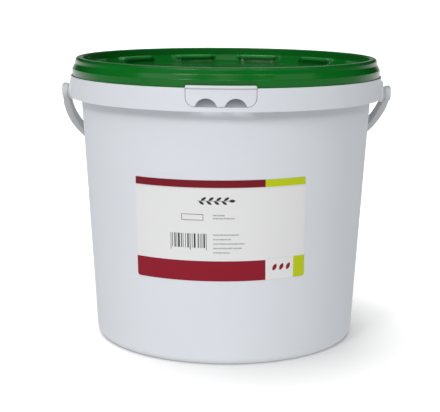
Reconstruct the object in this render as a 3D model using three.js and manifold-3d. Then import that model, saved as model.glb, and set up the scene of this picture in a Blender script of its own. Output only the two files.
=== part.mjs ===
// A round plastic storage pail with a press-on lid, a swinging bail handle, a tear tab and a label.
// Millimetres, +Z up. The origin is on the pail's axis at the surface it stands on.
// The tab and the label face -Y, and the handle turns about X.
import * as THREE from "three";
import { mergeVertices } from "three/addons/utils/BufferGeometryUtils.js";
import Module from "manifold-3d";

const wasm = await Module();
wasm.setup();

// Driving dimensions
const collarRadius = 140; // outside of the collar, the widest round of the pail
const baseRadius = 118.3; // outside of the tapered wall, carried down to z = 0
const wallTaper = 0.0567; // radius gained for each millimetre of height
const collarBottom = 217.8;
const collarTop = 237.2;
const lidTop = 252.8;

// Wall, rim and collar
const wall = 1.6; // thickness of the wall
const floorThickness = 1.8;
const baseCorner = 8; // outside radius where the wall meets the base
const footWidth = 5; // flat ring that the pail stands on
const footLift = 2.5; // the middle of the base is this far off the ground
const collarWall = 1.25;
const webTop = 233.4; // the ring that joins the wall to the collar
const webThickness = 1.8;
const seam = 0.3; // between the web and the tub, modelled as two solids
const rimTop = 250.6;
const rimFlange = 3.1; // height of the bead round the rim
const rimReach = 1.5; // how far the bead stands out from the wall
const edgeEase = 0.8; // small slope in place of a sharp moulded edge

// Lid
const lidWall = 1.5;
const lidRimOuter = 135.4;
const lidRimInner = 129.1;
const lidSkirtRadius = 138.5; // lower part of the skirt, just inside the collar
const lidSkirtEnd = 235; // the hidden lower edge of the skirt
const panelTop = 240.4; // the sunk middle of the lid
const ledgeTop = 246; // foot of the recess wall between the lugs
const slopeEnd = 122.5; // radius where the slope reaches the panel
const lugCount = 12;
const lugSpan = 18.6; // degrees
const lugTurn = 1.6; // degrees, how far the round lid is turned on the pail
const lugInner = 122;
const lugTop = 246.8;
const ridgeTop = 247.6; // the skirt widens from here down to ridgeFoot
const ridgeFoot = 243.1;
const ridgeRadius = 136.1;
const snapGap = 0.5; // play under the pail's rim bead
const snapReach = 1.3; // the snap bead stands in from the skirt by this much
const snapHeight = 1.2;
const skirtLead = 0.4; // the skirt's lower edge is this much slimmer, to find its way in

// Tear tab, measured across its front
const tabHalfWidth = 28.7;
const tabBottom = 222.1;
const tabTop = 239.2;
const tabCorner = 7.2;
const tabLipReach = 1.1; // the lip above the collar stands forward by this much
const tabLipInner = 139.1;
const slit = 0.6; // cut round the tab
const moonOffset = 12; // centre of each finger hole from the tab's centre
const moonRadius = 9.3;
const moonHeight = 6.7;
const tabCutBack = -132.6; // the cut for the tab stops short of the wall
const tabCutFront = -145;
const cutAbove = 3; // cuts run past a top edge by this much

// Handle
const pivotHeight = 221;
const handleOuter = 150.1; // outside of the arms at the pivots
const handleReach = 160.8; // pivot to the outside of the far end
const handleThickness = 6.8;
const handleWidth = 9;
const handleRoundness = 2.55; // exponent of the superellipse, 2 would be an ellipse
const hangAngle = 57.5; // back from straight down
const eyeRadius = 7;
const pinRadius = 3.6;
const pinHead = 4.6;
const padFace = 142.6; // distance of the pad's face from the axis
const padRadius = 9.5;
const padCentre = 222.5;
const pinClearance = 0.5;
const headLength = 1.3;
const headGap = 0.6; // between the pin's head and the inside of the collar
const eyeGap = 0.4; // between the eye's boss and the pad
const bossRadius = 6;
const gripHalf = 50;
const gripWidth = 19;
const gripLift = 1.2; // the grip's inner face stands off the strip by this much

// Label
const labelGap = 0.3;
const labelThickness = 0.3;
const labelBottom = 74.9;
const labelTop = 160.9;
const labelHalfArc = 74.9; // half width along the wall
const labelTilt = 0.61; // degrees, its right end stands higher
const labelShift = -0.9; // its centre line is this far to the left
const labelCorner = 2.5;

// Fineness
const roundSteps = 72;
const arcSteps = 6;
const smallSteps = 24;
const labelColumns = 13; // on each side of its centre line
const cornerColumns = 3;

const degrees = Math.PI / 180;
const wallRadiusAt = (z) => baseRadius + wallTaper * z;

const finishes = {
  pailPlastic: { color: 0xd9dcdf, roughness: 0.42, metalness: 0 },
  lidPlastic: { color: 0x17652a, roughness: 0.34, metalness: 0 },
  handlePlastic: { color: 0xcfd1d2, roughness: 0.46, metalness: 0 },
  labelPaper: { color: 0xe4e5e4, roughness: 0.55, metalness: 0 },
};

// A closed geometry as a solid that can be joined and cut
function solidOf(geometry) {
  const bare = geometry.clone();
  bare.deleteAttribute("normal");
  bare.deleteAttribute("uv");
  const merged = mergeVertices(bare, 1e-4);
  const triVerts = new Uint32Array(merged.index.array);
  const vertProperties = new Float32Array(merged.attributes.position.array);
  return new wasm.Manifold(new wasm.Mesh({ numProp: 3, vertProperties, triVerts }));
}

// A solid as a mesh with its name and finish
function meshOf(solid, name, finish) {
  const made = solid.getMesh();
  const geometry = new THREE.BufferGeometry();
  const positions = new Float32Array(made.vertProperties);
  geometry.setAttribute("position", new THREE.BufferAttribute(positions, 3));
  geometry.setIndex(new THREE.BufferAttribute(new Uint32Array(made.triVerts), 1));
  geometry.computeVertexNormals();
  const mesh = new THREE.Mesh(geometry, new THREE.MeshStandardMaterial(finish));
  mesh.name = name;
  return mesh;
}

// Points on an arc of the profile, from one angle to another in degrees
function profileArc(r, z, radius, from, to, steps = arcSteps) {
  const points = [];
  for (let i = 0; i <= steps; i++) {
    const angle = (from + ((to - from) * i) / steps) * degrees;
    points.push([r + radius * Math.cos(angle), z + radius * Math.sin(angle)]);
  }
  return points;
}

// A turned solid about Z from a profile of [radius, height] points, listed anticlockwise
function turned(points, closed) {
  const outline = points.map(([r, z]) => new THREE.Vector2(r, z));
  if (closed) outline.push(outline[0].clone());
  const geometry = new THREE.LatheGeometry(outline, roundSteps);
  geometry.rotateX(Math.PI / 2);
  return solidOf(geometry);
}

// A prism through the front of the collar: its outline is in X and Z
function frontPrism(shape) {
  const depth = tabCutBack - tabCutFront;
  const options = { depth, bevelEnabled: false, curveSegments: arcSteps };
  const geometry = new THREE.ExtrudeGeometry(shape, options);
  geometry.rotateX(Math.PI / 2);
  geometry.translate(0, tabCutBack, 0);
  return solidOf(geometry);
}

// A round bar along X, between two distances from the axis, on one side
function sideBar(side, radius, z, near, far) {
  const geometry = new THREE.CylinderGeometry(radius, radius, far - near, smallSteps);
  geometry.rotateZ(Math.PI / 2);
  geometry.translate((side * (near + far)) / 2, 0, z);
  return solidOf(geometry);
}

// Half-moon finger hole, flat side down, from a little below the tab's lower edge
function moonShape(centre) {
  const top = tabBottom + moonHeight;
  const half = Math.sqrt(moonRadius ** 2 - (moonRadius - moonHeight) ** 2);
  const sweep = Math.asin(half / moonRadius);
  const shape = new THREE.Shape();
  shape.moveTo(centre - half, tabBottom - slit);
  shape.lineTo(centre + half, tabBottom - slit);
  shape.absarc(centre, top - moonRadius, moonRadius, Math.PI / 2 - sweep, Math.PI / 2 + sweep, false);
  shape.closePath();
  return shape;
}

// Outline of the tab from the front, made larger by grow
function tabShape(grow, top) {
  const half = tabHalfWidth + grow;
  const bottom = tabBottom - grow;
  const corner = tabCorner + grow;
  const shape = new THREE.Shape();
  shape.moveTo(half, top);
  shape.lineTo(-half, top);
  shape.lineTo(-half, bottom + corner);
  shape.absarc(-half + corner, bottom + corner, corner, Math.PI, 1.5 * Math.PI, false);
  shape.absarc(half - corner, bottom + corner, corner, 1.5 * Math.PI, 2 * Math.PI, false);
  shape.closePath();
  return shape;
}

// The tub: the tapered wall, the base with its foot ring, and the rim that the lid grips
function tub() {
  const flatFoot = wallRadiusAt(baseCorner) - baseCorner; // outer edge of the flat ring
  const innerCorner = baseCorner - wall;
  const floorTop = footLift + floorThickness;
  const rimOuter = wallRadiusAt(rimTop);
  const outside = [
    [0, footLift],
    [flatFoot - footWidth - footLift, footLift],
    [flatFoot - footWidth, 0],
    ...profileArc(flatFoot, baseCorner, baseCorner, -90, 0),
    [wallRadiusAt(rimTop - rimFlange), rimTop - rimFlange],
    [rimOuter + rimReach, rimTop - rimFlange],
    [rimOuter + rimReach, rimTop - edgeEase],
    [rimOuter + rimReach - edgeEase, rimTop],
  ];
  const inside = [
    [rimOuter - wall, rimTop],
    ...profileArc(flatFoot, floorTop + innerCorner, innerCorner, 0, -90),
    [0, floorTop],
  ];
  return meshOf(turned([...outside, ...inside], false), "pail_tub", finishes.pailPlastic);
}

// The collar, and the flat web that carries it on the tub. They are one moulding with the tub
function collar() {
  const collarInner = collarRadius - collarWall;
  const webBottom = webTop - webThickness;
  const webFoot = [wallRadiusAt(webBottom) + seam, webBottom];
  const webHead = [wallRadiusAt(webTop) + seam, webTop];
  let ring = turned(
    [
      [collarInner, collarBottom],
      [collarRadius, collarBottom],
      [collarRadius, collarTop - edgeEase / 2],
      [collarRadius - edgeEase / 2, collarTop],
      [collarInner, collarTop],
      [collarInner, webTop],
      webHead,
      webFoot,
      [collarInner, webBottom],
    ],
    true,
  );

  // the tab's place in the collar, with the web behind it kept just clear of the tab
  ring = ring.subtract(frontPrism(tabShape(slit, collarTop + cutAbove)));
  const webEdge = collarInner - slit;
  ring = ring.add(turned([webFoot, [webEdge, webBottom], [webEdge, webTop], webHead], true));

  // pads for the handle's pins, each with a hole
  for (const side of [-1, 1]) {
    ring = ring.add(sideBar(side, padRadius, padCentre, collarInner, padFace));
    const holeRadius = pinRadius + pinClearance;
    const hole = sideBar(side, holeRadius, pivotHeight, collarInner - cutAbove, padFace + cutAbove);
    ring = ring.subtract(hole);
  }
  return meshOf(ring, "pail_collar", finishes.pailPlastic);
}

function tearTab() {
  const collarInner = collarRadius - collarWall;
  const lipOuter = collarRadius + tabLipReach;
  const skin = turned(
    [
      [collarInner, tabBottom - slit],
      [collarRadius, tabBottom - slit],
      [collarRadius, collarTop - tabLipReach],
      [lipOuter, collarTop],
      [lipOuter, tabTop - edgeEase / 2],
      [lipOuter - edgeEase / 2, tabTop],
      [tabLipInner, tabTop],
      [tabLipInner, collarTop - tabLipReach],
      [collarInner, collarTop - tabLipReach - edgeEase / 2],
    ],
    true,
  );
  let tab = skin.intersect(frontPrism(tabShape(0, tabTop + cutAbove)));
  for (const side of [-1, 1]) {
    tab = tab.subtract(frontPrism(moonShape(side * moonOffset)));
  }
  return meshOf(tab, "tear_tab", finishes.pailPlastic);
}

// A block of the lid between two radii and two heights, centred on an angle in degrees
function ringSector(inner, outer, low, high, centre, span) {
  const from = (centre - span / 2) * degrees;
  const to = (centre + span / 2) * degrees;
  const shape = new THREE.Shape();
  shape.absarc(0, 0, outer, from, to, false);
  shape.absarc(0, 0, inner, to, from, true);
  shape.closePath();
  const depth = high - low;
  const options = { depth, bevelEnabled: false, curveSegments: arcSteps };
  const geometry = new THREE.ExtrudeGeometry(shape, options);
  geometry.translate(0, 0, low);
  return solidOf(geometry);
}

function lid() {
  const snapTop = rimTop - rimFlange - snapGap;
  const snapInner = ridgeRadius - lidWall - snapReach;
  const skirtInner = lidSkirtRadius - lidWall;
  const channelTop = lidTop - lidWall;
  const underneath = [
    [0, panelTop - lidWall],
    [slopeEnd, panelTop - lidWall],
    [lidRimInner + skirtLead, ledgeTop - lidWall],
    [lidRimInner + lidWall, ledgeTop],
    [lidRimInner + lidWall, channelTop],
    [lidRimOuter - lidWall, channelTop],
    [ridgeRadius - lidWall, snapTop + snapGap],
    [snapInner, snapTop],
    [snapInner, snapTop - snapHeight],
    [skirtInner - skirtLead, ridgeFoot - snapHeight],
    [skirtInner, lidSkirtEnd],
  ];
  const outside = [
    [lidSkirtRadius - skirtLead, lidSkirtEnd],
    [lidSkirtRadius, collarTop + skirtLead],
    [lidSkirtRadius, ridgeFoot],
    [ridgeRadius, ridgeTop],
    [lidRimOuter, lidTop - edgeEase],
    [lidRimOuter - edgeEase, lidTop],
  ];
  const recess = [
    [lidRimInner + edgeEase, lidTop],
    [lidRimInner, lidTop - edgeEase],
    [lidRimInner, ledgeTop],
    [slopeEnd, panelTop],
    [0, panelTop],
  ];
  let cover = turned([...underneath, ...outside, ...recess], false);

  // lugs round the recess, each with a pocket underneath
  const pitch = 360 / lugCount;
  const pocketSpan = lugSpan - (2 * lidWall) / lugInner / degrees;
  for (let i = 0; i < lugCount; i++) {
    const centre = (i + 0.5) * pitch + lugTurn;
    const lugOuter = lidRimInner + lidWall / 3; // a little inside the recess wall
    const pocketOuter = lidRimInner - lidWall / 3;
    const pocketFoot = panelTop - 2 * lidWall;
    const pocketTop = lugTop - lidWall;
    const pocketInner = lugInner + lidWall;
    cover = cover.add(ringSector(lugInner, lugOuter, panelTop - lidWall / 2, lugTop, centre, lugSpan));
    const pocket = ringSector(pocketInner, pocketOuter, pocketFoot, pocketTop, centre, pocketSpan);
    cover = cover.subtract(pocket);
  }
  return meshOf(cover, "lid", finishes.lidPlastic);
}

// Points of the bail in its own plane, X across and Y away from the pivots, from +X round to -X
function bailCurve(half, reach, limit = half) {
  const steps = 56;
  const points = [];
  for (let i = 0; i <= steps; i++) {
    const angle = (Math.PI * i) / steps;
    const across = Math.cos(angle);
    const x = half * Math.sign(across) * Math.abs(across) ** (2 / handleRoundness);
    const y = reach * Math.sin(angle) ** (2 / handleRoundness);
    if (Math.abs(x) <= limit) points.push(new THREE.Vector2(x, y));
  }
  return points;
}

// A flat strip of the bail between two curves, width across the plane
function bailStrip(outer, inner, width) {
  const shape = new THREE.Shape([...outer, ...inner.reverse()]);
  const geometry = new THREE.ExtrudeGeometry(shape, { depth: width, bevelEnabled: false });
  geometry.translate(0, 0, -width / 2);
  return solidOf(geometry);
}

function handle() {
  const innerHalf = handleOuter - handleThickness;
  const innerReach = handleReach - handleThickness;
  const outer = bailCurve(handleOuter, handleReach);
  const strip = bailStrip(outer, bailCurve(innerHalf, innerReach), handleWidth);
  const gripOuter = bailCurve(handleOuter, handleReach + gripLift, gripHalf);
  const gripInner = bailCurve(innerHalf, innerReach + gripLift, gripHalf);
  let bail = strip.add(bailStrip(gripOuter, gripInner, gripWidth));
  const headFace = collarRadius - collarWall - headGap;
  const rooted = innerHalf + handleThickness / 2;
  for (const side of [-1, 1]) {
    bail = bail.add(sideBar(side, eyeRadius, 0, innerHalf, handleOuter));
    bail = bail.add(sideBar(side, bossRadius, 0, padFace + eyeGap, rooted));
    bail = bail.add(sideBar(side, pinRadius, 0, headFace - headLength / 2, rooted));
    bail = bail.add(sideBar(side, pinHead, 0, headFace - headLength, headFace));
  }
  const mesh = meshOf(bail, "handle", finishes.handlePlastic);
  const swing = new THREE.Group();
  swing.position.set(0, 0, pivotHeight);
  swing.rotation.x = -(90 - hangAngle) * degrees;
  swing.add(mesh);
  return swing;
}

// The label: a thin patch with round corners, made flat, tilted a little and bent round the wall
function label() {
  const middle = (labelBottom + labelTop) / 2;
  const halfHeight = (labelTop - labelBottom) / 2;
  const straight = labelHalfArc - labelCorner; // half of the straight part of its upper edge
  const columns = labelColumns + cornerColumns;
  const geometry = new THREE.BoxGeometry(2 * columns, 2 * halfHeight, labelThickness, 2 * columns);
  const points = geometry.getAttribute("position");
  for (let i = 0; i < points.count; i++) {
    const column = Math.abs(points.getX(i));
    const turn = (Math.max(0, column - labelColumns) / cornerColumns) * (Math.PI / 2);
    const level = (Math.min(column, labelColumns) / labelColumns) * straight;
    const reach = level + labelCorner * Math.sin(turn);
    const rise = halfHeight - labelCorner * (1 - Math.cos(turn));
    const flat = new THREE.Vector2(Math.sign(points.getX(i)) * reach, Math.sign(points.getY(i)) * rise);
    flat.rotateAround(new THREE.Vector2(), labelTilt * degrees);
    const height = middle + flat.y;
    const around = (flat.x + labelShift) / (wallRadiusAt(height) + labelGap);
    const out = wallRadiusAt(height) + labelGap + labelThickness / 2 + points.getZ(i);
    points.setXYZ(i, out * Math.sin(around), -out * Math.cos(around), height);
  }
  return meshOf(solidOf(geometry), "label", finishes.labelPaper);
}

const pail = new THREE.Group();
pail.add(tub(), collar(), tearTab(), lid(), handle(), label());

export default pail;
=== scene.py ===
import math

import bmesh
import bpy
from mathutils import Matrix, Vector


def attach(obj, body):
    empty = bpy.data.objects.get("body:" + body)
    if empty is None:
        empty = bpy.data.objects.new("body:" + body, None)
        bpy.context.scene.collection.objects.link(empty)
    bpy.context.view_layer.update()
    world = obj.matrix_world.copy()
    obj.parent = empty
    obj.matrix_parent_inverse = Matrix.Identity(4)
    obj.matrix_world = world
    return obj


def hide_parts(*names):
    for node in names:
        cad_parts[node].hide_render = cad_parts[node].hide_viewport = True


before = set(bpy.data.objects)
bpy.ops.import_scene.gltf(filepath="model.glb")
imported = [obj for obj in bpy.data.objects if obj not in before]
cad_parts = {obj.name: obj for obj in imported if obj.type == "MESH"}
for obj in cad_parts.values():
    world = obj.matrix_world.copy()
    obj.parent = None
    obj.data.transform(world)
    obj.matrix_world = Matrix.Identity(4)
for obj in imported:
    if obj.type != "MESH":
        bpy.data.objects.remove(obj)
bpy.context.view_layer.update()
millimetre = 0.001


# rounding and turning

rounding = {
    "turnStep": 14,  # degrees between two points of a fillet
    "share": 0.48,  # the most of a straight that one fillet takes
    "guard": 0.35, "guardShare": 0.4, "leastGuard": 0.03,  # how far guard points stand from a fillet
}
weldDistance = 1e-6
tinyDistance = 1e-7


def roundCorners(points, turnStep=rounding["turnStep"]):
    # points are (radius, height, fillet); a straight beside a fillet gets a guard point to keep it flat
    count = len(points)
    places = [Vector(point[:2]) for point in points]
    share, guard, guardShare = rounding["share"], rounding["guard"], rounding["guardShare"]

    def arms(i):
        return places[i - 1] - places[i], places[(i + 1) % count] - places[i]

    corners = []
    for i, point in enumerate(points):
        fillet = point[2]
        if fillet <= 0 or i in (0, count - 1):
            corners.append((0, 0))
            continue
        before, after = arms(i)
        half = before.angle(after) / 2
        reach = min(fillet / math.tan(half), share * before.length, share * after.length)
        corners.append((reach, reach * math.tan(half)))
    out = []
    for i, (reach, radius) in enumerate(corners):
        here = places[i]
        if reach == 0:
            out.append(here)
            continue
        before, after = arms(i)
        spareBefore = min(guard, guardShare * (before.length - reach - corners[i - 1][0]))
        spareAfter = min(guard, guardShare * (after.length - reach - corners[(i + 1) % count][0]))
        half = before.angle(after) / 2
        before.normalize()
        after.normalize()
        centre = here + (before + after).normalized() * radius / math.sin(half)
        start, end = here + before * reach, here + after * reach
        if spareBefore > rounding["leastGuard"]:
            out.append(start + before * spareBefore)
        a, b = start - centre, end - centre
        turn = math.atan2(a.x * b.y - a.y * b.x, a.dot(b))
        steps = max(2, round(abs(math.degrees(turn)) / turnStep))
        for k in range(steps + 1):
            cos, sin = math.cos(turn * k / steps), math.sin(turn * k / steps)
            out.append(centre + Vector((a.x * cos - a.y * sin, a.x * sin + a.y * cos)))
        if spareAfter > rounding["leastGuard"]:
            out.append(end + after * spareAfter)
    return [(p.x, p.y) for p in out]


def turnedMesh(name, outline, angles, height=None):
    # outline runs anticlockwise in (radius, height) millimetres, closed or from axis to axis
    bm = bmesh.new()
    onAxis = outline[0][0] == 0
    rows = []
    for r, z in outline:
        if r == 0:
            rows.append([bm.verts.new((0, 0, z * millimetre))])
            continue
        row = []
        for angle in angles:
            level = height(r, z, angle) if height else z
            row.append(bm.verts.new(Vector((r * math.cos(angle), r * math.sin(angle), level)) * millimetre))
        rows.append(row)
    pairs = list(zip(rows, rows[1:])) if onAxis else list(zip(rows, rows[1:] + rows[:1]))
    for low, high in pairs:
        for j in range(len(angles)):
            k = (j + 1) % len(angles)
            ring = [low[j % len(low)], low[k % len(low)], high[k % len(high)], high[j % len(high)]]
            bm.faces.new(list(dict.fromkeys(ring)))
    return finishMesh(name, bm)


def finishMesh(name, bm, sharpAngle=40):
    bm.normal_update()
    limit = math.radians(sharpAngle)
    for face in bm.faces:
        face.smooth = True
    for edge in bm.edges:
        edge.smooth = edge.calc_face_angle(math.pi) < limit
    mesh = bpy.data.meshes.new(name)
    bm.to_mesh(mesh)
    bm.free()
    return mesh


def evenAngles(steps):
    return [2 * math.pi * i / steps for i in range(steps)]


def newPiece(name, mesh):
    piece = bpy.data.objects.new(name, mesh)
    bpy.context.scene.collection.objects.link(piece)
    return piece


def combine(piece, tool, operation):
    step = piece.modifiers.new("combine", "BOOLEAN")
    step.object, step.operation, step.solver = tool, operation, "EXACT"
    applyModifiers(piece)
    bpy.data.objects.remove(tool)


def applyModifiers(piece):
    view = bpy.context.evaluated_depsgraph_get()
    view.update()
    mesh = bpy.data.meshes.new_from_object(piece.evaluated_get(view))
    piece.modifiers.clear()
    piece.data = mesh


def sharpenEdges(piece, sharpAngle=40):
    bm = bmesh.new()
    bm.from_mesh(piece.data)
    bmesh.ops.dissolve_degenerate(bm, dist=weldDistance, edges=bm.edges)
    piece.data = finishMesh(piece.data.name, bm, sharpAngle)


def flatPlate(name, outlines, thickness, edgeRadius=0, slices=(), rises=()):
    # a flat plate from (x, y) outlines in millimetres, the first one outside and the rest holes, cut into
    # cells so that it can be bent; its thickness runs along z
    curve = bpy.data.curves.new(name, "CURVE")
    curve.dimensions, curve.fill_mode = "2D", "BOTH"
    curve.extrude = (thickness / 2 - edgeRadius) * millimetre
    curve.bevel_depth = edgeRadius * millimetre
    curve.bevel_resolution = 2
    curve.offset = -edgeRadius * millimetre
    for outline in outlines:
        spline = curve.splines.new("POLY")
        spline.points.add(len(outline) - 1)
        for point, (x, y) in zip(spline.points, outline):
            point.co = (x * millimetre, y * millimetre, 0, 1)
        spline.use_cyclic_u = True
    carrier = newPiece(name, curve)
    bm = bmesh.new()
    view = bpy.context.evaluated_depsgraph_get()
    view.update()
    bm.from_mesh(bpy.data.meshes.new_from_object(carrier.evaluated_get(view)))
    bpy.data.objects.remove(carrier)
    bmesh.ops.remove_doubles(bm, verts=bm.verts, dist=weldDistance)
    for axis, places in ((0, slices), (1, rises)):
        normal = Vector((1, 0, 0)) if axis == 0 else Vector((0, 1, 0))
        for place in places:
            everything = bm.verts[:] + bm.edges[:] + bm.faces[:]
            bmesh.ops.bisect_plane(bm, geom=everything, plane_co=normal * place * millimetre,
                                   plane_no=normal, dist=tinyDistance)
    return bm


def arcPoints(cx, cy, radius, start, end, steps):
    out = []
    for i in range(steps + 1):
        angle = math.radians(start + (end - start) * i / steps)
        out.append((cx + radius * math.cos(angle), cy + radius * math.sin(angle)))
    return out


def clamped(value):
    return min(1, max(0, value))


def smoothStep(value):
    part = clamped(value)
    return part * part * (3 - 2 * part)


def spread(low, high, step):
    count = max(1, round((high - low) / step))
    return [low + (high - low) * i / count for i in range(1, count)]


# materials

class Nodes:
    # a short way to write a material's nodes
    def __init__(self, material):
        self.tree = material.node_tree

    def add(self, kind, **settings):
        node = self.tree.nodes.new(kind)
        for key, value in settings.items():
            setattr(node, key, value)
        return node

    def link(self, source, target):
        self.tree.links.new(source, target)

    def math(self, operation, a, b=None, c=None, clamp=False):
        node = self.add("ShaderNodeMath", operation=operation, use_clamp=clamp)
        for socket, value in zip(node.inputs, (a, b, c)):
            if value is None:
                continue
            if isinstance(value, (int, float)):
                socket.default_value = value
            else:
                self.link(value, socket)
        return node.outputs[0]

    def noise(self, where, scale, detail=2.0, roughness=0.5, stretch=None):
        node = self.add("ShaderNodeTexNoise")
        node.inputs["Scale"].default_value = scale
        node.inputs["Detail"].default_value = detail
        node.inputs["Roughness"].default_value = roughness
        if stretch:
            shift = self.add("ShaderNodeMapping")
            shift.inputs["Scale"].default_value = stretch
            self.link(where, shift.inputs["Vector"])
            where = shift.outputs[0]
        self.link(where, node.inputs["Vector"])
        return node.outputs["Fac"]

    def remap(self, value, low, high, toLow, toHigh, smooth=False):
        node = self.add("ShaderNodeMapRange", clamp=True)
        if smooth:
            node.interpolation_type = "SMOOTHSTEP"
        for socket, number in zip(node.inputs[1:5], (low, high, toLow, toHigh)):
            socket.default_value = number
        self.link(value, node.inputs[0])
        return node.outputs[0]

    def mix(self, factor, a, b):
        node = self.add("ShaderNodeMix", data_type="RGBA")
        for socket, value in zip((node.inputs[0], node.inputs[6], node.inputs[7]), (factor, a, b)):
            if isinstance(value, (tuple, float, int)):
                socket.default_value = (*value, 1) if isinstance(value, tuple) else value
            else:
                self.link(value, socket)
        return node.outputs[2]

    def bump(self, height, strength, distance, normal=None):
        node = self.add("ShaderNodeBump")
        node.inputs["Strength"].default_value = strength
        node.inputs["Distance"].default_value = distance
        self.link(height, node.inputs["Height"])
        if normal:
            self.link(normal, node.inputs["Normal"])
        return node.outputs[0]


def newMaterial(name):
    material = bpy.data.materials.new(name)
    material.use_nodes = True
    shader = material.node_tree.nodes["Principled BSDF"]
    return material, Nodes(material), shader


def shade(colour, factor):
    return tuple(c * factor for c in colour)


noiseMiddle = (0.3, 0.7)  # the range that most of a noise lies in


def mouldedPlastic(name, look):
    # injection-moulded polypropylene: faint mottling, a fine grain, slow waves in the wall and light scuffs
    material, nodes, shader = newMaterial(name)
    colour, vary = look["colour"], look["variation"]
    where = nodes.add("ShaderNodeTexCoord").outputs["Object"]
    mottle = nodes.noise(where, look["mottleScale"], detail=3)
    grain = nodes.noise(where, look["grainScale"], detail=3, roughness=0.6)
    wave = nodes.noise(where, look["waveScale"], detail=1)
    scuffs = nodes.noise(where, look["scuffScale"], detail=4, roughness=0.7, stretch=look["scuffStretch"])
    scuffEnd = look["scuffFrom"] + look["scuffSoft"]
    scuffMask = nodes.remap(scuffs, look["scuffFrom"], scuffEnd, 0, look["scuffAmount"])
    patches = nodes.remap(mottle, *noiseMiddle, 0, 1)
    body = nodes.mix(patches, shade(colour, 1 - vary), shade(colour, 1 + vary))
    surface = nodes.mix(scuffMask, body, look["scuffColour"])
    rough = nodes.remap(grain, *noiseMiddle, *look["roughness"])
    duller = nodes.math("MULTIPLY", scuffMask, look["scuffRoughness"])
    nodes.link(nodes.math("ADD", rough, duller), shader.inputs["Roughness"])
    slow = nodes.bump(wave, look["waveStrength"], look["waveDepth"])
    nodes.link(nodes.bump(grain, look["grainStrength"], look["grainDepth"], slow), shader.inputs["Normal"])
    shader.inputs["Specular IOR Level"].default_value = look["specular"]
    shader.inputs["IOR"].default_value = 1.49
    # painted highlight and painted shade on the lid's lugs
    if "lugTones" in look:
        surface = tonedLugs(nodes, surface, mottle, look)
    # painted shade in the gap behind the collar
    if "cavity" in look:
        surface = shadedCavity(nodes, surface, where, look)
    if "sideGloss" in look:
        nodes.link(sideGloss(nodes, look), shader.inputs["Specular IOR Level"])
    nodes.link(surface, shader.inputs["Base Color"])
    return material


def tonedLugs(nodes, surface, mottle, look):
    # painted shade darkens the lid's lugs on their steep sides and a painted highlight lightens them along
    # their upper edges
    tones = look["lugTones"]
    paintedHighlight = nodes.add("ShaderNodeAttribute", attribute_name="paintedEdgeHighlight").outputs["Fac"]
    deep = nodes.add("ShaderNodeAttribute", attribute_name="paintedSideShade").outputs["Fac"]
    patchy = nodes.remap(mottle, *tones["patches"], 0.5, 1)
    edge = nodes.math("MULTIPLY", nodes.math("MULTIPLY", paintedHighlight, patchy), tones["edgeAmount"])
    side = nodes.math("MULTIPLY", deep, tones["sideAmount"])
    surface = nodes.mix(side, surface, shade(look["colour"], tones["sideShade"]))
    return nodes.mix(edge, surface, tones["edgeColour"])


def shadedCavity(nodes, surface, where, look):
    # painted shade: the narrow gap between the wall and the collar is coloured darker
    cavity = look["cavity"]
    split = nodes.add("ShaderNodeSeparateXYZ")
    nodes.link(where, split.inputs[0])
    x, y, z = split.outputs
    radius = nodes.math("SQRT", nodes.math("ADD", nodes.math("POWER", x, 2), nodes.math("POWER", y, 2)))
    inside = nodes.remap(radius, *[r * millimetre for r in cavity["outside"]], 1, 0)
    rise = nodes.remap(z, *[level * millimetre for level in cavity["rise"]], 0, 1, smooth=True)
    below = nodes.remap(z, *[level * millimetre for level in cavity["top"]], 1, 0)
    depth = nodes.math("MULTIPLY", nodes.math("MULTIPLY", inside, rise), below)
    return nodes.mix(depth, surface, shade(look["colour"], cavity["shade"]))


def sideGloss(nodes, look):
    # upright faces get glossier where they turn away from the eye
    gloss = look["sideGloss"]
    facing = nodes.add("ShaderNodeLayerWeight").outputs["Facing"]
    turned = nodes.remap(facing, *gloss["turned"], 0, 1, smooth=True)
    split = nodes.add("ShaderNodeSeparateXYZ")
    nodes.link(nodes.add("ShaderNodeTexCoord").outputs["Normal"], split.inputs[0])
    upright = nodes.remap(nodes.math("ABSOLUTE", split.outputs[2]), *gloss["flat"], 1, 0)
    amount = nodes.math("MULTIPLY", turned, upright)
    return nodes.remap(amount, 0, 1, look["specular"], gloss["specular"])


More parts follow.
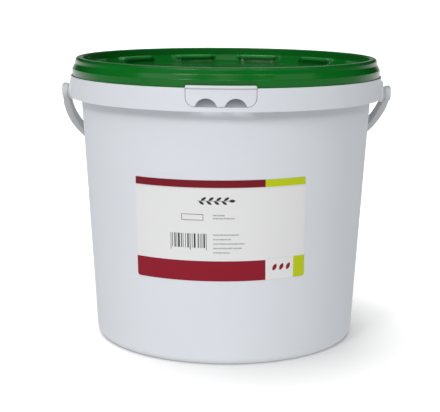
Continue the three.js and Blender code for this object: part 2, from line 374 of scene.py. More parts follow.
plasticLooks = {
    "pail": {
        "colour": (0.628, 0.655, 0.696), "variation": 0.012, "mottleScale": 14, "roughness": (0.40, 0.50),
        "specular": 0.45, "grainScale": 900, "grainStrength": 0.10, "grainDepth": 0.0002,
        "waveScale": 18, "waveStrength": 0.12, "waveDepth": 0.0012,
        "scuffScale": 60, "scuffStretch": (1, 1, 6), "scuffFrom": 0.66, "scuffSoft": 0.08,
        "scuffAmount": 0.25, "scuffRoughness": 0.2, "scuffColour": (0.56, 0.58, 0.61),
        # painted shade in the gap behind the collar
        "cavity": {"outside": (138.2, 138.6), "rise": (221.2, 227.5), "top": (232.0, 233.0), "shade": 0.45},
    },
    "lid": {
        "colour": (0.0035, 0.122, 0.0125), "variation": 0.04, "mottleScale": 22, "roughness": (0.12, 0.2),
        "specular": 0.18, "grainScale": 700, "grainStrength": 0.04, "grainDepth": 0.0001,
        "waveScale": 20, "waveStrength": 0.12, "waveDepth": 0.0012,
        "scuffScale": 80, "scuffStretch": (1, 1, 4), "scuffFrom": 0.64, "scuffSoft": 0.08,
        "scuffAmount": 0.3, "scuffRoughness": 0.2, "scuffColour": (0.03, 0.16, 0.045),
        # painted highlight on the lugs' upper edges and painted shade on their steep sides
        "lugTones": {"edgeColour": (0.04, 0.30, 0.066), "edgeAmount": 0.95, "patches": (0.35, 0.65),
                     "sideShade": 0.3, "sideAmount": 0.7},
        "sideGloss": {"specular": 0.55, "turned": (0.42, 0.74), "flat": (0.55, 0.8)},
    },
    "handle": {
        "colour": (0.545, 0.56, 0.575), "variation": 0.02, "mottleScale": 30, "roughness": (0.42, 0.54),
        "specular": 0.45, "grainScale": 800, "grainStrength": 0.15, "grainDepth": 0.0002,
        "waveScale": 40, "waveStrength": 0.15, "waveDepth": 0.0008,
        "scuffScale": 90, "scuffStretch": (1, 1, 1), "scuffFrom": 0.62, "scuffSoft": 0.08,
        "scuffAmount": 0.35, "scuffRoughness": 0.2, "scuffColour": (0.47, 0.48, 0.49),
    },
}
pailPlastic = mouldedPlastic("pailPlastic", plasticLooks["pail"])
lidPlastic = mouldedPlastic("lidPlastic", plasticLooks["lid"])
handlePlastic = mouldedPlastic("handlePlastic", plasticLooks["handle"])
print("plastics mixed")


# the pail: tub, web and collar in one moulding

pailSizes = {
    "baseRadius": 118.3, "taper": 0.0567, "wall": 1.6, "baseCorner": 8.4, "innerCorner": 6.6, "steps": 288,
    "collarRadius": 140.0, "collarWall": 1.25, "collarBottom": 217.8, "collarTop": 236.9,
    "webTop": 233.4, "webThickness": 1.8, "rimTop": 250.6, "beadFoot": 247.5, "beadReach": 1.5,
    "footLift": 2.5, "floorTop": 4.3, "footInner": 103.2, "footEdge": 105.8,  # the ring it stands on
    "gate": 3.0, "gateEdge": 3.6, "gateLift": 2.1,  # the moulding mark in the middle of the base
    "markRing": (57.5, 62.5), "markSlope": 1.0, "markLift": 2.15,  # a low ring round it
    "padRadius": 9.5, "padCentre": 222.5, "padFace": 142.0, "padRoot": 0.3,
    "pivotHeight": 221.0, "pinHole": 4.1, "slit": 0.38, "cutPast": 3.0,
}
tabSizes = {
    "halfWidth": 28.7, "bottom": 222.1, "corner": 7.4, "thickness": 1.25, "edge": 0.28,
    "cutDepth": 6.0, "cutPast": 1.3, "cutRows": (225, 230, 235), "column": 1.6, "cutColumn": 1.5,
    "moonOffset": 12.0, "moonRadius": 9.3, "moonHeight": 6.7,
    "lipTop": 239.2, "lipReach": 1.25, "lipCorner": 1.5, "lipOver": 0.2,
    "crease": 236.9, "groove": 0.3, "grooveBelow": 0.7, "grooveHalf": 0.4, "grooveFade": 0.6,
    "lowRows": (3, 6, 10), "creaseRows": (-2.0, -1.5, -1.2, -0.9, -0.5, -0.2, -0.1, 0.05, 0.2, 0.3, 0.5),
}


def wallRadius(z):
    return pailSizes["baseRadius"] + pailSizes["taper"] * z


def tabOutline(grow, top):
    half, bottom = tabSizes["halfWidth"] + grow, tabSizes["bottom"] - grow
    corner = tabSizes["corner"] + grow
    lower = arcPoints(-half + corner, bottom + corner, corner, 180, 270, 12)
    lower += arcPoints(half - corner, bottom + corner, corner, 270, 360, 12)
    return lower + [(half, top), (-half, top)]


def bendOnCylinder(bm, radius):
    # x becomes the way round, y the height and z the way out, with the front at -Y
    for vert in bm.verts:
        x, y, z = vert.co
        angle = x / (radius * millimetre)
        out = radius * millimetre + z
        vert.co = (out * math.sin(angle), -out * math.cos(angle), y)


def tabCutter():
    s = pailSizes
    inner = s["collarRadius"] - s["collarWall"] - s["slit"]
    t = tabSizes
    depth, half = t["cutDepth"], t["halfWidth"] + t["cutPast"]
    bm = flatPlate("tabCutter", [tabOutline(s["slit"], s["collarTop"] + s["cutPast"])], depth,
                   slices=spread(-half, half, t["cutColumn"]), rises=t["cutRows"])
    for vert in bm.verts:
        vert.co.z += (inner + depth / 2 - s["collarRadius"]) * millimetre
    bendOnCylinder(bm, s["collarRadius"])
    return newPiece("tabCutter", finishMesh("tabCutter", bm))


def sideDisc(name, side, outline, height, steps=64):
    # an outline of (radius, distance from the pail's axis) turned about the pivots' direction
    ring = [(r, side * x) for r, x in outline]
    mesh = turnedMesh(name, ring if side > 0 else ring[::-1], evenAngles(steps))
    mesh.transform(Matrix.Rotation(math.pi / 2, 4, "Y"))
    mesh.transform(Matrix.Translation((0, 0, height * millimetre)))
    return mesh


def makePail():
    s = pailSizes
    inner = s["collarRadius"] - s["collarWall"]
    webBottom = s["webTop"] - s["webThickness"]
    rim = wallRadius(s["rimTop"])
    lift, (ringIn, ringOut) = s["footLift"], s["markRing"]
    bead, root = rim + s["beadReach"], inner + s["padRoot"]
    outline = roundCorners([
        (0, s["gateLift"], 0), (s["gate"], s["gateLift"], 0.3), (s["gateEdge"], lift, 0.3),
        (ringIn, lift, 0.4), (ringIn + s["markSlope"], s["markLift"], 0.4),
        (ringOut - s["markSlope"], s["markLift"], 0.4), (ringOut, lift, 0.4),
        (s["footInner"], lift, 1.2), (s["footEdge"], 0, 0.7), (wallRadius(0), 0, s["baseCorner"]),
        (wallRadius(webBottom), webBottom, 0.8), (inner, webBottom, 0.5), (inner, s["collarBottom"], 0.4),
        (s["collarRadius"], s["collarBottom"], 0.55), (s["collarRadius"], s["collarTop"], 0.5),
        (inner, s["collarTop"], 0.4), (inner, s["webTop"], 0.5),
        (wallRadius(s["webTop"]), s["webTop"], 0.8), (wallRadius(s["beadFoot"]), s["beadFoot"], 0.3),
        (bead, s["beadFoot"], 0.3), (bead, s["rimTop"], 0.8), (rim - s["wall"], s["rimTop"], 0.6),
        (wallRadius(0) - s["wall"], s["floorTop"], s["innerCorner"]), (0, s["floorTop"], 0),
    ])
    pail = newPiece("pailMoulding", turnedMesh("pailMoulding", outline, evenAngles(s["steps"])))
    for side in (-1, 1):
        pad = roundCorners([(0, root, 0), (s["padRadius"], root, 0), (s["padRadius"], s["padFace"], 0.8),
                            (0, s["padFace"], 0)])
        combine(pail, newPiece("pad", sideDisc("pad", side, pad, s["padCentre"])), "UNION")
        near, far = inner - s["cutPast"], s["padFace"] + s["cutPast"]
        hole = [(0, near), (s["pinHole"], near), (s["pinHole"], far), (0, far)]
        combine(pail, newPiece("hole", sideDisc("hole", side, hole, s["pivotHeight"])), "DIFFERENCE")
    combine(pail, tabCutter(), "DIFFERENCE")
    sharpenEdges(pail)
    pail.data.materials.clear()
    pail.data.materials.append(pailPlastic)
    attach(pail, "pail")
    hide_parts("pail_tub", "pail_collar")
    return pail


def makeTab():
    t = tabSizes
    radius = pailSizes["collarRadius"]
    half, bottom, corner = t["halfWidth"], t["bottom"], t["corner"]
    moonHalf = math.sqrt(t["moonRadius"] ** 2 - (t["moonRadius"] - t["moonHeight"]) ** 2)
    sweep = math.degrees(math.asin(moonHalf / t["moonRadius"]))
    moonCentre = bottom + t["moonHeight"] - t["moonRadius"]
    outline = arcPoints(-half + corner, bottom + corner, corner, 180, 270, 12)
    for side in (-1, 1):
        middle = side * t["moonOffset"]
        outline += arcPoints(middle, moonCentre, t["moonRadius"], 90 + sweep, 90 - sweep, 22)
    outline += arcPoints(half - corner, bottom + corner, corner, 270, 360, 12)
    small = t["lipCorner"]
    outline += arcPoints(half - small, t["lipTop"] - small, small, 0, 90, 5)
    outline += arcPoints(-half + small, t["lipTop"] - small, small, 90, 180, 5)
    crease = t["crease"]
    rises = [bottom + d for d in t["lowRows"]] + [crease + d for d in t["creaseRows"]]
    bm = flatPlate("tearTab", [outline], t["thickness"], t["edge"],
                   slices=spread(-half, half, t["column"]), rises=rises)
    for vert in bm.verts:
        vert.co.z -= t["thickness"] / 2 * millimetre
        above = vert.co.y / millimetre - crease
        lift = smoothStep((above + t["lipOver"]) / (2 * t["lipOver"]))
        dip = clamped(1 - (abs(above + t["grooveBelow"]) - t["grooveHalf"]) / t["grooveFade"])
        vert.co.z += (t["lipReach"] * lift - t["groove"] * dip) * millimetre
    bendOnCylinder(bm, radius)
    tab = newPiece("tearTab", finishMesh("tearTab", bm, 50))
    tab.data.materials.append(pailPlastic)
    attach(tab, "pail")
    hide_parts("tear_tab")
    return tab


makePail()
makeTab()
print("pail and tear tab built")


# the lid, one turned moulding whose recess rises into twelve stacking lugs

lidSizes = {
    "top": 252.8, "rimOuter": 135.4, "rimInner": 129.1, "skirt": 138.5, "skirtEnd": 235.0, "panel": 240.4,
    "ledge": 246.0, "slopeEnd": 122.5, "slopeSoft": 1.2, "wall": 1.5, "ridgeTop": 247.6, "ridgeFoot": 243.1,
    "ridge": 136.1, "lead": 0.4, "leadTop": 237.6, "slopeRings": (125.2, 126.4, 127.4, 128.2),
    "panelRings": (110.0, 60.0, 0),
    "beadTop": 247.5, "beadHigh": 247.0, "beadLow": 245.8, "beadInner": 133.3,  # the bead inside the skirt
    "lugs": 12, "lugSpan": 17.8, "lugTurn": 1.6, "lugInner": 122.0, "lugTop": 246.8, "lugEdge": 1.3,
    "lugCorner": 3.2, "lugDraft": 0.6, "lugEndDraft": 1.9, "lugFoot": 0.8,
}
lugOffsets = (-1.5, -1.2, -0.9, -0.75, -0.6, -0.3, 0.0, 0.1, 0.35, 0.75, 1.3, 2.0)
lugReach = {"within": 4.0, "beyond": 0.9}  # how far from a lug's ring the recess may be lifted
# the lighter tone is a painted highlight and the darker tone is painted shade
toneReach = {  # where the lighter and the darker tone of a lug lie, in depth inside its outline
    "edge": (-0.65, 0.8), "edgeDrop": 2.2, "side": (-0.95, -0.05), "sideDrop": 1.2, "sideWidth": 2.5,
}


def lugRise(depth, base, top):
    # height of the lug's skin at a depth inside its outline: foot fillet, steep side, rounded edge
    s = lidSizes
    edge, draft, foot = s["lugEdge"], s["lugDraft"], s["lugFoot"]
    if depth >= edge:
        return top
    if depth >= 0:
        return top - edge + math.sqrt(edge ** 2 - (edge - depth) ** 2)
    if depth >= -draft:
        low = min(base + foot, top - edge)
        return low + (top - edge - low) * (depth + draft) / draft
    into = clamped((depth + draft + foot) / foot)
    return base + foot * (1 - math.sqrt(1 - into ** 2))


def lugDepth(r, angle):
    # how far a point lies inside the outline of the nearest lug
    s = lidSizes
    pitch = 2 * math.pi / s["lugs"]
    away = abs(((angle - math.radians(s["lugTurn"])) % pitch) - pitch / 2)
    across = (math.radians(s["lugSpan"]) / 2 - away) * r
    if across < 0:
        across *= s["lugDraft"] / s["lugEndDraft"]
    inward = r - s["lugInner"]
    corner = s["lugCorner"]
    if across < corner and inward < corner:
        return corner - math.hypot(corner - across, corner - inward)
    return min(across, inward)


def lidHeight(r, z, angle):
    # the recess between the panel and the rim wall, lifted where a lug stands
    s = lidSizes
    near = s["lugInner"] - lugReach["within"] < r < s["rimInner"] + lugReach["beyond"]
    if not (near and s["panel"] - 0.01 <= z < s["lugTop"]):
        return z
    return max(z, lugRise(lugDepth(r, angle), z, s["lugTop"]))


def toneLugs(mesh):
    # marks the lugs' upper edges for a painted highlight and their steep sides for painted shade
    s, reach = lidSizes, toneReach
    paintedEdgeHighlight = mesh.attributes.new("paintedEdgeHighlight", "FLOAT", "POINT")
    paintedSideShade = mesh.attributes.new("paintedSideShade", "FLOAT", "POINT")
    for i, vert in enumerate(mesh.vertices):
        x, y, z = vert.co / millimetre
        r = math.hypot(x, y)
        depth = lugDepth(r, math.atan2(y, x))
        start = s["lugInner"] - 2
        onEdge = start < r < s["rimInner"] - 0.5 and z > s["lugTop"] - reach["edgeDrop"]
        if onEdge and reach["edge"][0] < depth < reach["edge"][1]:
            paintedEdgeHighlight.data[i].value = 1.0
        onSide = start < r < s["lugInner"] + reach["sideWidth"] and z < s["lugTop"] - reach["sideDrop"]
        if onSide and reach["side"][0] < depth < reach["side"][1]:
            paintedSideShade.data[i].value = 1.0


def makeLid():
    s = lidSizes
    wall = s["wall"]
    slopeOf = (s["ledge"] - s["panel"]) / (s["rimInner"] - s["slopeEnd"])
    low, recess, lead = s["panel"] - wall, s["rimInner"] + wall, s["lead"]
    channel, skirtInner = s["top"] - wall, s["skirt"] - wall
    under = [
        (0, low, 0), (s["slopeEnd"] + 0.8, low, 1), (s["rimInner"] + 0.7, s["ledge"] - wall, 0.6),
        (recess, s["ledge"], 0.3), (recess, channel, 0.6), (s["rimOuter"] - wall, channel, 0.6),
        (s["ridge"] - wall, s["beadTop"], 0.3), (s["beadInner"], s["beadHigh"], 0.3),
        (s["beadInner"], s["beadLow"], 0.3), (skirtInner - lead, s["ridgeFoot"] - 1.2, 0.5),
        (skirtInner, s["skirtEnd"], 0.3),
    ]
    outer = [
        (s["skirt"] - lead, s["skirtEnd"], 0.3), (s["skirt"], s["leadTop"], 0.3),
        (s["skirt"], s["ridgeFoot"], 0.9), (s["ridge"], s["ridgeTop"], 2.2), (s["rimOuter"], s["top"], 2.4),
        (s["rimInner"], s["top"], 1.0), (s["rimInner"], s["ledge"], 0.5), (s["slopeEnd"], s["panel"], 0),
    ]
    shell = roundCorners(under + outer, turnStep=12)
    # rings over the slope and the panel's edge, close together at the lugs' inner faces
    rings = [s["lugInner"] + d for d in lugOffsets] + list(s["slopeRings"])
    soft = s["slopeSoft"]
    slope = []
    for r in sorted(rings, reverse=True):
        past = r - s["slopeEnd"]
        rise = past if past > soft else max(0, past + soft) ** 2 / (4 * soft)
        slope.append((r, s["panel"] + rise * slopeOf))
    outline = shell[:-1] + slope + [(r, s["panel"]) for r in s["panelRings"]]
    # radial cuts close together at the lugs' ends
    angles = []
    pitch = 360 / s["lugs"]
    half = s["lugSpan"] / 2
    middle = s["lugInner"] + 5  # a radius half way out on a lug
    stretch = s["lugEndDraft"] / s["lugDraft"]
    for i in range(s["lugs"]):
        centre = (i + 0.5) * pitch + s["lugTurn"]
        ends = [half - math.degrees(d * (stretch if d < 0 else 1) / middle) for d in lugOffsets]
        side = sorted(ends + spread(0, ends[-1], 1.6) + spread(ends[0], pitch / 2, 1.4))
        angles += [centre - a for a in reversed(side)] + [centre]
        angles += [centre + a for a in side + [pitch / 2]]
    angles = [math.radians(a) for a in angles]
    lid = newPiece("lid", turnedMesh("lid", outline, angles, lidHeight))
    # marks where the lugs get their painted highlight and painted shade
    toneLugs(lid.data)
    lid.data.materials.append(lidPlastic)
    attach(lid, "pail")
    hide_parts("lid")
    return lid


makeLid()
print("lid built")


# the handle: a flat strip that swings about two pins, wider where it is gripped

handleSizes = {
    "half": 146.4, "reach": 157.4, "roundness": 2.55, "lean": 0.078, "leanEnd": 150.0, "leanFade": 60.0,
    "thickness": 7.2, "width": 9.0, "edge": 1.5, "hang": 57.5, "step": 2.4,
    "eyeRadius": 7.0, "eyeThickness": 5.4, "eyeBlend": 24.0, "eyeTurns": (88, 78, 66, 54, 42, 30, 18, 8),
    "gripWidth": 19.0, "gripHalf": 50.0, "gripBlend": 9.0, "gripLift": 1.2,
    "pin": 3.6, "pinHead": 4.6, "boss": 6.0, "bossFace": 142.3, "headFace": 138.15, "headLength": 1.3,
}


def handlePath():
    # (across, away from the pivots) along the middle of the strip, evenly spaced, from one eye to the other
    s = handleSizes
    fine, fineSteps, power = [], 800, 2 / s["roundness"]
    for i in range(fineSteps + 1):
        angle = math.pi * i / fineSteps
        c, v = math.cos(angle), math.sin(angle)
        fine.append(Vector((s["half"] * math.copysign(abs(c) ** power, c), s["reach"] * abs(v) ** power)))
    total = sum((b - a).length for a, b in zip(fine, fine[1:]))
    count = round(total / s["step"])
    path, walked, goal = [fine[0]], 0.0, total / count
    for a, b in zip(fine, fine[1:]):
        span = (b - a).length
        while walked + span >= goal - 1e-9 and len(path) < count:
            path.append(a.lerp(b, (goal - walked) / span))
            goal += total / count
        walked += span
    path.append(fine[-1])
    eye = [Vector((s["half"], -s["eyeRadius"] * math.sin(math.radians(a)))) for a in s["eyeTurns"]]
    return eye + path + [Vector((-p.x, p.y)) for p in reversed(eye)]


def stripWidth(point):
    # half of the strip's width at a point of the path
    s = handleSizes
    eye = math.sqrt(max(0, s["eyeRadius"] ** 2 - point.y ** 2)) if abs(point.y) < s["eyeRadius"] else 0
    if point.y < 0:
        return eye
    ease = smoothStep((abs(point.x) - s["gripHalf"]) / s["gripBlend"]) if point.y > s["reach"] / 2 else 1
    plain = s["gripWidth"] / 2 + (s["width"] - s["gripWidth"]) / 2 * ease
    return max(eye, plain) if point.y < s["eyeRadius"] else plain


def handleFrame():
    # the handle's own directions as it hangs: across, away from the pivots, and square to both
    hang = math.radians(handleSizes["hang"])
    away = Vector((0, math.sin(hang), -math.cos(hang)))
    square = Vector((0, math.cos(hang), math.sin(hang)))
    pivot = Vector((0, 0, pailSizes["pivotHeight"]))
    return Vector((1, 0, 0)), away, square, pivot


def stripSection(halfWide, halfThick, edge):
    edge = min(edge, halfWide * 0.9, halfThick * 0.9)
    points = []
    for i, (right, up) in enumerate(((1, 1), (-1, 1), (-1, -1), (1, -1))):
        cx, cy = right * (halfThick - edge), up * (halfWide - edge)
        points += arcPoints(cx, cy, edge, i * 90, i * 90 + 90, 4)
    return points


def makeHandle():
    s = handleSizes
    across, away, square, pivot = handleFrame()
    path = handlePath()
    bm = bmesh.new()
    rows = []
    for i, point in enumerate(path):
        ahead = path[min(i + 1, len(path) - 1)] - path[max(i - 1, 0)]
        ahead.normalize()
        outward = Vector((ahead.y, -ahead.x))
        if outward.dot(point - Vector((0, s["reach"] / 3))) < 0:
            outward.negate()
        lift = 0
        if point.y > s["reach"] / 2:
            inGrip = (s["gripHalf"] + s["gripBlend"] - abs(point.x)) / s["gripBlend"]
            lift = s["gripLift"] * smoothStep(inGrip)
        lean = s["lean"] * max(0, point.y) * clamped((s["leanEnd"] - point.y) / s["leanFade"])
        thickness = s["eyeThickness"]
        thickness += (s["thickness"] - thickness) * smoothStep(point.y / s["eyeBlend"])
        row = []
        for thick, wide in stripSection(max(0.4, stripWidth(point)), thickness / 2, s["edge"]):
            flat = point + outward * thick + Vector((-lean, lift))
            place = pivot + across * flat.x + away * flat.y + square * wide
            row.append(bm.verts.new(place * millimetre))
        rows.append(row)
    for low, high in zip(rows, rows[1:]):
        for j in range(len(low)):
            k = (j + 1) % len(low)
            bm.faces.new([low[j], low[k], high[k], high[j]])
    bm.faces.new(rows[0][::-1])
    bm.faces.new(rows[-1])
    bmesh.ops.recalc_face_normals(bm, faces=bm.faces)
    handle = newPiece("handle", finishMesh("handle", bm, 45))
    for side in (-1, 1):
        headEnd = s["headFace"] - s["headLength"]
        pin = roundCorners([
            (0, headEnd, 0), (s["pinHead"], headEnd, 0.5), (s["pinHead"], s["headFace"], 0.2),
            (s["pin"], s["headFace"], 0.2), (s["pin"], s["bossFace"], 0.2), (s["boss"], s["bossFace"], 0.3),
            (s["boss"], s["half"], 0), (0, s["half"], 0),
        ])
        combine(handle, newPiece("pin", sideDisc("pin", side, pin, pailSizes["pivotHeight"])), "UNION")
    sharpenEdges(handle, 45)
    handle.data.materials.clear()
    handle.data.materials.append(handlePlastic)
    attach(handle, "handle")
    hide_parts("handle")
    return handle


makeHandle()
print("handle built")


# the label: printed paper bent round the wall

labelSizes = {
    "bottom": 74.9, "top": 160.9, "halfArc": 74.9, "shift": -0.9, "tilt": 0.61, "corner": 2.5,
    "topCorner": 0.8, "gap": 0.12, "thickness": 0.16, "column": 1.5, "row": 12,
    "printHalf": 100.0, "printSpan": 200.0,  # the stretch of paper that the print map covers
}
labelInks = {
    "paper": (0.682, 0.686, 0.684), "crimson": (0.232, 0.006, 0.018), "wine": (0.165, 0.0045, 0.013),
    "lime": (0.45, 0.525, 0.004), "charcoal": (0.035, 0.036, 0.036), "grey": (0.24, 0.245, 0.25),
    # the hairline grey paints a shadow under the top band and a thin line along the top of the small white
    # field
    "hairline": (0.60, 0.605, 0.61),
}
# places on the paper: left, right, bottom and top, across from its centre line and up from the table
labelPrint = {
    # the line under the top band is a painted shadow
    "soft": 0.12, "bandShadowLine": (-90, 90, 153.4, 154.6), "fieldLine": (38.5, 63.9, 93.1, 93.6),
    "topBand": (-90, 38.4, 154.6, 170), "lowBand": (-90, 38.5, 60, 92.3),
    "limeTop": (38.4, 90, 154.6, 170), "limeLow": (63.9, 90, 60, 93.4),
    "stem": (-18.0, 10.5, 143.45, 143.85), "leafPairs": (-14.5, -8.2, -1.9, 4.4),
    "upperLeaf": (1.6, 145.35, 5.2, 2.2, 32), "lowerLeaf": (-0.2, 142.0, 5.2, 2.2, -32),
    "endLeaf": (10.6, 143.65, 5.4, 2.6, 0),
    "frame": (-31.8, -13.3, 127.1, 132.4), "frameLine": 0.45,
    "barsFrom": -41.6, "barsTo": -9.5, "barFoot": 103.5, "longFoot": 101.6, "barTop": 115.8, "barGap": 0.35,
    "barWidths": (0.5, 0.6, 1.1, 0.5, 1.6, 0.8, 0.5, 0.5, 1.2, 0.7, 0.5, 1.5, 0.9, 0.5, 0.6, 1.3, 0.5, 0.9),
    "smallPrint": (
        (-5.3, 4.4, 131.4), (-5.3, 12.6, 128.8), (-5.2, 16.0, 114.8), (-5.2, 9.6, 111.0),
        (-5.2, 20.7, 107.2), (-5.2, 18.6, 103.4), (-5.2, 8.3, 99.6)), "lineHalf": 0.55,
    "lozenge": (46.5, 85.4, 6.6, 3.4, 62), "lozengeStep": 6.2, "lozenges": 3,
}


def labelPaper():
    material, nodes, shader = newMaterial("labelPaper")
    where = nodes.add("ShaderNodeUVMap", uv_map="print").outputs[0]
    split = nodes.add("ShaderNodeSeparateXYZ")
    nodes.link(where, split.inputs[0])
    u = nodes.math("MULTIPLY_ADD", split.outputs[0], labelSizes["printSpan"], -labelSizes["printHalf"])
    v = nodes.math("MULTIPLY", split.outputs[1], labelSizes["printSpan"])
    art, soft = labelPrint, labelPrint["soft"]

    def within(value, low, high):
        away = nodes.math("ABSOLUTE", nodes.math("SUBTRACT", value, (low + high) / 2))
        return nodes.math("SUBTRACT", (high - low) / 2, away)

    def box(left, right, bottom, top, edge=soft):
        inside = nodes.math("MINIMUM", within(u, left, right), within(v, bottom, top))
        return nodes.remap(inside, -edge, edge, 0, 1)

    def leaf(x, y, length, width, turn):
        # the overlap of two circles, long axis turned by turn degrees
        cos, sin = math.cos(math.radians(turn)), math.sin(math.radians(turn))
        dx, dy = nodes.math("SUBTRACT", u, x), nodes.math("SUBTRACT", v, y)
        along = nodes.math("ADD", nodes.math("MULTIPLY", dx, cos), nodes.math("MULTIPLY", dy, sin))
        aside = nodes.math("SUBTRACT", nodes.math("MULTIPLY", dy, cos), nodes.math("MULTIPLY", dx, sin))
        radius = (length ** 2 + width ** 2) / (4 * width)
        offset = nodes.math("ADD", nodes.math("ABSOLUTE", aside), radius - width / 2)
        square = nodes.math("ADD", nodes.math("POWER", along, 2), nodes.math("POWER", offset, 2))
        inside = nodes.math("SUBTRACT", radius, nodes.math("SQRT", square))
        return nodes.remap(inside, -soft, soft, 0, 1)

    def together(masks):
        whole = masks[0]
        for mask in masks[1:]:
            whole = nodes.math("MAXIMUM", whole, mask)
        return whole

    def lay(under, masks, ink):
        return nodes.mix(together(masks), under, labelInks[ink])

    fibre = nodes.noise(where, 260, detail=3)
    plain = labelInks["paper"]
    printed = nodes.mix(nodes.remap(fibre, 0.35, 0.65, 0, 1), shade(plain, 0.985), shade(plain, 1.015))
    # painted shadow: a thin grey line under the top band; a second thin grey line runs along the top of the
    # small white field
    printed = lay(printed, [box(*art["bandShadowLine"], 0.6), box(*art["fieldLine"], 0.3)], "hairline")
    printed = lay(printed, [box(*art["topBand"])], "wine")
    printed = lay(printed, [box(*art["lowBand"])], "crimson")
    printed = lay(printed, [box(*art["limeTop"]), box(*art["limeLow"])], "lime")

    # a plain sprig above the middle
    sprig = [box(*art["stem"]), leaf(*art["endLeaf"])]
    for x in art["leafPairs"]:
        for shift, *rest in (art["upperLeaf"], art["lowerLeaf"]):
            sprig.append(leaf(x + shift, *rest))
    printed = lay(printed, sprig, "charcoal")

    # an empty frame
    left, right, bottom, top = art["frame"]
    line = art["frameLine"]
    hollow = box(left + line, right - line, bottom + line, top - line)
    frameMask = nodes.math("SUBTRACT", box(left, right, bottom, top), hollow, clamp=True)
    printed = lay(printed, [frameMask], "charcoal")

    # bars of many widths that spell nothing
    bars = []
    place, turn, widths = art["barsFrom"], 0, art["barWidths"]
    while place < art["barsTo"] - 0.7:
        wide = widths[turn % len(widths)]
        foot = art["longFoot"] if turn in (0, 9) or place > art["barsTo"] - 1.9 else art["barFoot"]
        bars.append(box(place, min(place + wide, art["barsTo"]), foot, art["barTop"], 0.1))
        place += wide + widths[(turn * 5 + 3) % len(widths)] * 0.9 + art["barGap"]
        turn += 1
    printed = lay(printed, bars, "charcoal")

    # small print as broken grey lines
    broken = nodes.remap(nodes.noise(where, 150, detail=0, stretch=(1, 7, 1)), 0.42, 0.46, 0, 1)
    half = art["lineHalf"]
    rows = together([box(left, right, z - half, z + half, 0.25) for left, right, z in art["smallPrint"]])
    printed = nodes.mix(nodes.math("MULTIPLY", rows, broken), printed, labelInks["grey"])

    # plain lozenges in the small white field
    x, *rest = art["lozenge"]
    lozenges = [leaf(x + art["lozengeStep"] * i, *rest) for i in range(art["lozenges"])]
    nodes.link(lay(printed, lozenges, "crimson"), shader.inputs["Base Color"])
    nodes.link(nodes.remap(fibre, *noiseMiddle, 0.46, 0.58), shader.inputs["Roughness"])
    nodes.link(nodes.bump(fibre, 0.15, 0.0001), shader.inputs["Normal"])
    shader.inputs["Specular IOR Level"].default_value = 0.16
    return material


def makeLabel():
    s = labelSizes
    half, low, high, corner, small = s["halfArc"], s["bottom"], s["top"], s["corner"], s["topCorner"]
    middle = (low + high) / 2
    outline = arcPoints(-half + corner, low + corner, corner, 180, 270, 6)
    outline += arcPoints(half - corner, low + corner, corner, 270, 360, 6)
    outline += arcPoints(half - small, high - small, small, 0, 90, 4)
    outline += arcPoints(-half + small, high - small, small, 90, 180, 4)
    bm = flatPlate("label", [outline], s["thickness"],
                   slices=spread(-half, half, s["column"]), rises=spread(low, high, s["row"]))
    printMap = bm.loops.layers.uv.new("print")
    for face in bm.faces:
        for loop in face.loops:
            x, y = loop.vert.co.x / millimetre, loop.vert.co.y / millimetre
            loop[printMap].uv = ((x + s["printHalf"]) / s["printSpan"], y / s["printSpan"])
    cos, sin = math.cos(math.radians(s["tilt"])), math.sin(math.radians(s["tilt"]))
    for vert in bm.verts:
        x, y, z = vert.co / millimetre
        y -= middle
        x, y = x * cos - y * sin, middle + x * sin + y * cos
        angle = (x + s["shift"]) / wallRadius(y)
        out = wallRadius(y) + s["gap"] + s["thickness"] / 2 + z
        vert.co = Vector((out * math.sin(angle), -out * math.cos(angle), y)) * millimetre
    label = newPiece("label", finishMesh("label", bm))
    label.data.materials.append(labelPaper())
    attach(label, "pail")
    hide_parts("label")
    return label


makeLabel()
print("label printed")


# floor, light and camera

stage = {
    "floorSize": 60.0, "floorColour": (0.62, 0.62, 0.62),
    "skyAbove": 0.0, "skyBelow": 0.94, "seenSky": 1.05, "skyBlend": (-0.05, 0.15),
    "suns": (  # name, azimuth from the front towards the left, elevation, strength, angle across
        ("keyLight", 32, 38, 0.92, 16), ("frontLight", 0, 38, 0.70, 26), ("rightLight", -32, 38, 0.37, 14),
        ("leftHigh", 66, 52, 0.44, 30), ("rightWide", -62, 38, 0.24, 30), ("lowLight", 30, 12, 0.36, 60),
        ("backLight", 180, 35, 0.24, 24), ("topLight", 10, 84, 0.45, 40)),
    "floorSuns": ((150, 70, 4.4, 62), (0, 48, 0.7, 60)),
    "camera": (0.029765, -1.059933, 0.323645), "pitch": 11.1477, "yaw": 1.86,
    "roll": 0.0067, "lens": 95.177, "sensor": 36,
}


def makeFloor():
    size = stage["floorSize"] / 2
    bm = bmesh.new()
    bmesh.ops.create_grid(bm, x_segments=24, y_segments=24, size=size)
    floor = newPiece("floor", finishMesh("floor", bm))
    material, nodes, shader = newMaterial("paleFloor")
    where = nodes.add("ShaderNodeTexCoord").outputs["Object"]
    cloud = nodes.noise(where, 3, detail=3)
    colour = stage["floorColour"]
    nodes.link(nodes.mix(cloud, shade(colour, 0.99), shade(colour, 1.01)), shader.inputs["Base Color"])
    nodes.link(nodes.remap(cloud, *noiseMiddle, 0.8, 0.9), shader.inputs["Roughness"])
    shader.inputs["Specular IOR Level"].default_value = 0.1
    floor.data.materials.append(material)
    floor.visible_diffuse = floor.visible_glossy = False  # the studio below lights the pail evenly instead
    return floor


def makeSun(name, azimuth, elevation, strength, across):
    light = bpy.data.lights.new(name, "SUN")
    light.energy, light.angle = strength, math.radians(across)
    lamp = newPiece(name, light)
    a, e = math.radians(azimuth), math.radians(elevation)
    towards = Vector((-math.sin(a) * math.cos(e), -math.cos(a) * math.cos(e), math.sin(e)))
    lamp.rotation_euler = towards.to_track_quat("Z", "Y").to_euler()
    return lamp


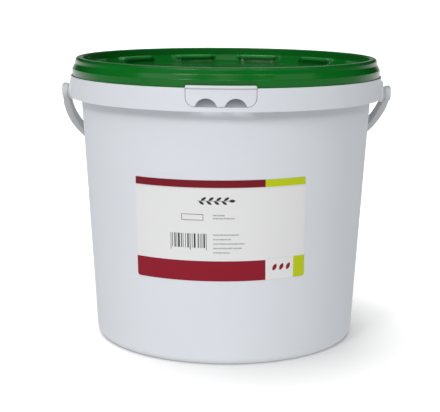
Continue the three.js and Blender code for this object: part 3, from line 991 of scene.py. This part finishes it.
def makeLight(floor):
    for sun in stage["suns"]:
        makeSun(*sun)
    # soft lights that only brighten the floor
    onFloor = bpy.data.collections.new("onFloor")
    onFloor.objects.link(floor)
    for sun in stage["floorSuns"]:
        makeSun("floorLight", *sun).light_linking.receiver_collection = onFloor
    world = bpy.data.worlds.new("studio")
    bpy.context.scene.world = world
    world.use_nodes = True
    tree = world.node_tree
    room = tree.nodes["Background"]
    room.inputs["Color"].default_value = (1, 1, 1, 1)
    place = tree.nodes.new("ShaderNodeTexCoord")
    split = tree.nodes.new("ShaderNodeSeparateXYZ")
    rise = tree.nodes.new("ShaderNodeMapRange")
    rise.interpolation_type = "SMOOTHSTEP"
    seen = tree.nodes.new("ShaderNodeMapRange")
    path = tree.nodes.new("ShaderNodeLightPath")
    tree.links.new(place.outputs["Generated"], split.inputs[0])
    tree.links.new(split.outputs[2], rise.inputs[0])
    levels = (*stage["skyBlend"], stage["skyBelow"], stage["skyAbove"])
    for socket, value in zip(rise.inputs[1:5], levels):
        socket.default_value = value
    tree.links.new(path.outputs["Is Camera Ray"], seen.inputs[0])
    tree.links.new(rise.outputs[0], seen.inputs[3])
    seen.inputs[4].default_value = stage["seenSky"]
    tree.links.new(seen.outputs[0], room.inputs["Strength"])
    bpy.context.scene.view_settings.view_transform = "Standard"


def makeCamera():
    turn = Matrix.Rotation(math.radians(stage["yaw"]), 3, "Z")
    pitch = math.radians(stage["pitch"])
    forward = turn @ Vector((0, math.cos(pitch), -math.sin(pitch)))
    right = turn @ Vector((1, 0, 0))
    up = right.cross(forward)
    roll = stage["roll"]
    rolledRight = right * math.cos(roll) + up * math.sin(roll)
    rolledUp = up * math.cos(roll) - right * math.sin(roll)
    data = bpy.data.cameras.new("camera")
    data.lens, data.sensor_width, data.sensor_fit = stage["lens"], stage["sensor"], "HORIZONTAL"
    camera = newPiece("camera", data)
    axes = Matrix((rolledRight, rolledUp, -forward)).transposed().to_4x4()
    camera.matrix_world = Matrix.Translation(stage["camera"]) @ axes
    bpy.context.scene.camera = camera


makeLight(makeFloor())
makeCamera()
print("stage set")
